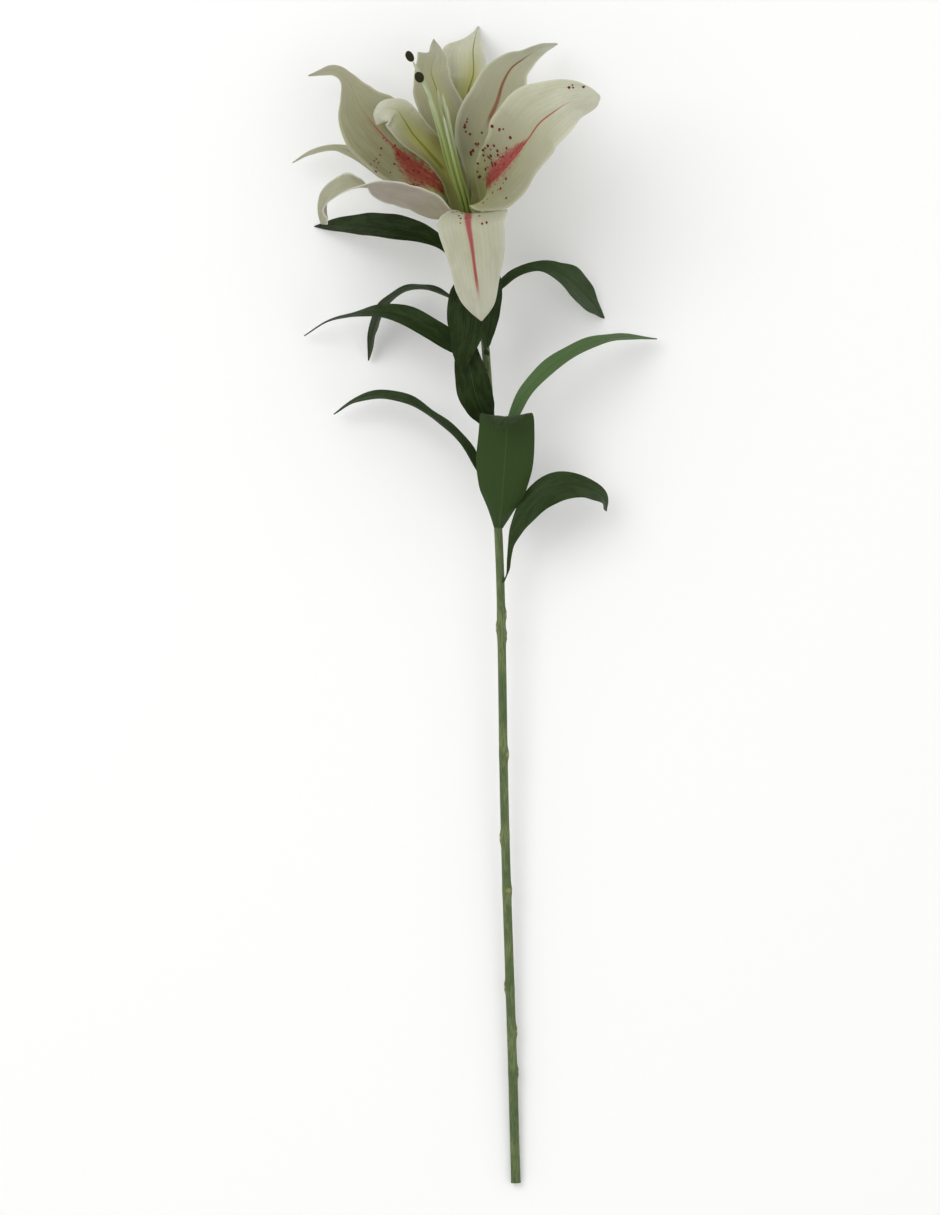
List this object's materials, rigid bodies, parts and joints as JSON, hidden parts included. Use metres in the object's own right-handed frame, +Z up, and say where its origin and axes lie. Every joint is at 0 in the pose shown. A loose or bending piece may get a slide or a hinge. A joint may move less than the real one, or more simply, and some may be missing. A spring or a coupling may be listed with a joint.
{
  "type": "lily, cut stem",
  "caption": "Cut lily stem lying on its side: an open cream flower with crimson flares and spots, curved dark green leaves and a long bare lower stem.",
  "frame": {"origin": "middle of the bounding box's bottom, on the surface that the stem lies on", "axes": "+Y along the stem towards the flower, +Z up, +X to the right seen from above with the flower at the top"},
  "size_m": [0.2224, 0.7066, 0.1339],
  "materials": {
    "stem": "matt green, slightly waxy, with brownish leaf scars",
    "tepal": "cream with a faint green tint, a crimson flare and spots near the base, a pink or green midrib; soft satin",
    "leaf": "dark green inner face, lighter green outer face, fine long veins, low sheen",
    "filament": "pale green, smooth",
    "knob": "very dark brown, matt and finely grained"
  },
  "bodies": {
    "root": {"stem": "stem", "tepal_front": "tepal", "tepal_right": "tepal", "tepal_back_right": "tepal", "tepal_back": "tepal", "tepal_back_left": "tepal", "tepal_inner_left": "tepal", "tepal_left": "tepal", "tepal_outer_left": "tepal", "tepal_front_left": "tepal", "leaf_01": "leaf", "leaf_02": "leaf", "leaf_03": "leaf", "leaf_04": "leaf", "leaf_05": "leaf", "leaf_06": "leaf", "leaf_07": "leaf", "leaf_08": "leaf", "leaf_09": "leaf", "leaf_10": "leaf", "leaf_11": "leaf", "stamens_and_style": "filament", "stigma": "knob", "anther": "knob"}
  },
  "joints": []
}
